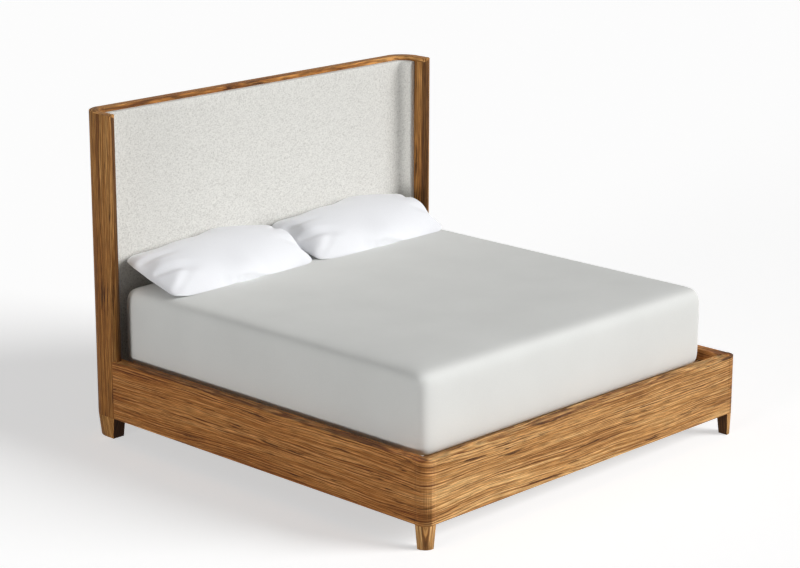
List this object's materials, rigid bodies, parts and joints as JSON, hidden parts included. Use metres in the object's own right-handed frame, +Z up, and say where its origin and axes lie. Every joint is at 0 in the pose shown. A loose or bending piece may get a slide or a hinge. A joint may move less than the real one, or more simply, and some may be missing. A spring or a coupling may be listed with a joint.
{
  "type": "bed",
  "caption": "King bed with a rounded timber shell headboard lined in linen, short wings, low timber rails on tapered feet, mattress and pillows.",
  "frame": {"origin": "on the floor, at the middle of the bed's plan", "axes": "+X across the bed to the right seen from the foot, +Y from the foot to the head, +Z up"},
  "size_m": [2.14, 2.21, 1.56],
  "materials": {
    "oiled_timber": "oiled teak-brown hardwood, satin, with dark streaks and knots",
    "dark_timber": "darker hardwood edge strip, satin",
    "slat_timber": null,
    "plain_steel": null,
    "black_nylon": null,
    "woven_linen": "oatmeal linen weave with a flecked slub",
    "pad_plywood": null,
    "knit_ticking": "plain pale grey knit cover",
    "white_cotton": "white cotton"
  },
  "bodies": {
    "frame": {"back_panel": "oiled_timber", "shell_corner_left": "oiled_timber", "shell_corner_right": "oiled_timber", "wing_left": "oiled_timber", "wing_right": "oiled_timber", "rail_corner_left": "oiled_timber", "rail_corner_right": "oiled_timber", "side_rail_left": "oiled_timber", "side_rail_right": "oiled_timber", "front_foot_left": "oiled_timber", "front_foot_right": "oiled_timber", "rear_foot_left": "oiled_timber", "rear_foot_right": "oiled_timber", "foot_rail": "oiled_timber", "wing_nose_left": "dark_timber", "wing_nose_right": "dark_timber", "slat_01": "slat_timber", "slat_02": "slat_timber", "slat_03": "slat_timber", "slat_04": "slat_timber", "slat_05": "slat_timber", "slat_06": "slat_timber", "slat_07": "slat_timber", "slat_08": "slat_timber", "slat_09": "slat_timber", "slat_10": "slat_timber", "slat_11": "slat_timber", "slat_12": "slat_timber", "slat_13": "slat_timber", "slat_ledge_left": "slat_timber", "slat_ledge_right": "slat_timber", "centre_beam": "slat_timber", "head_rail": "slat_timber", "beam_prop_1": "slat_timber", "beam_prop_2": "slat_timber", "beam_prop_3": "slat_timber", "beam_hanger_foot": "plain_steel", "beam_hanger_head": "plain_steel", "rail_bracket_left": "plain_steel", "rail_bracket_right": "plain_steel", "corner_brace_left": "plain_steel", "corner_brace_right": "plain_steel", "rail_bolt_left": "plain_steel", "rail_bolt_right": "plain_steel", "wing_bolt_left": "plain_steel", "wing_bolt_right": "plain_steel", "brace_side_bolt_left": "plain_steel", "brace_side_bolt_right": "plain_steel", "brace_foot_bolt_left": "plain_steel", "brace_foot_bolt_right": "plain_steel", "headboard_pad": "woven_linen", "pad_board": "pad_plywood"},
    "mattress": {"mattress": "knit_ticking"},
    "pillow_left": {"pillow_left": "white_cotton"},
    "pillow_right": {"pillow_right": "white_cotton"},
    "levelling_foot_1": {"levelling_foot_1": "black_nylon"},
    "levelling_foot_2": {"levelling_foot_2": "black_nylon"},
    "levelling_foot_3": {"levelling_foot_3": "black_nylon"}
  },
  "joints": [
    {"name": "mattress_lift", "type": "slide", "parent": "frame", "child": "mattress", "axis": [0, 0, 1], "range_m": [0, 0.25]},
    {"name": "pillow_left_lift", "type": "slide", "parent": "mattress", "child": "pillow_left", "axis": [0, 0, 1], "range_m": [0, 0.2]},
    {"name": "pillow_right_lift", "type": "slide", "parent": "mattress", "child": "pillow_right", "axis": [0, 0, 1], "range_m": [0, 0.2]},
    {"name": "levelling_foot_1_screw", "type": "slide", "parent": "frame", "child": "levelling_foot_1", "axis": [0, 0, -1], "range_m": [0, 0.012]},
    {"name": "levelling_foot_2_screw", "type": "slide", "parent": "frame", "child": "levelling_foot_2", "axis": [0, 0, -1], "range_m": [0, 0.012]},
    {"name": "levelling_foot_3_screw", "type": "slide", "parent": "frame", "child": "levelling_foot_3", "axis": [0, 0, -1], "range_m": [0, 0.012]}
  ]
}
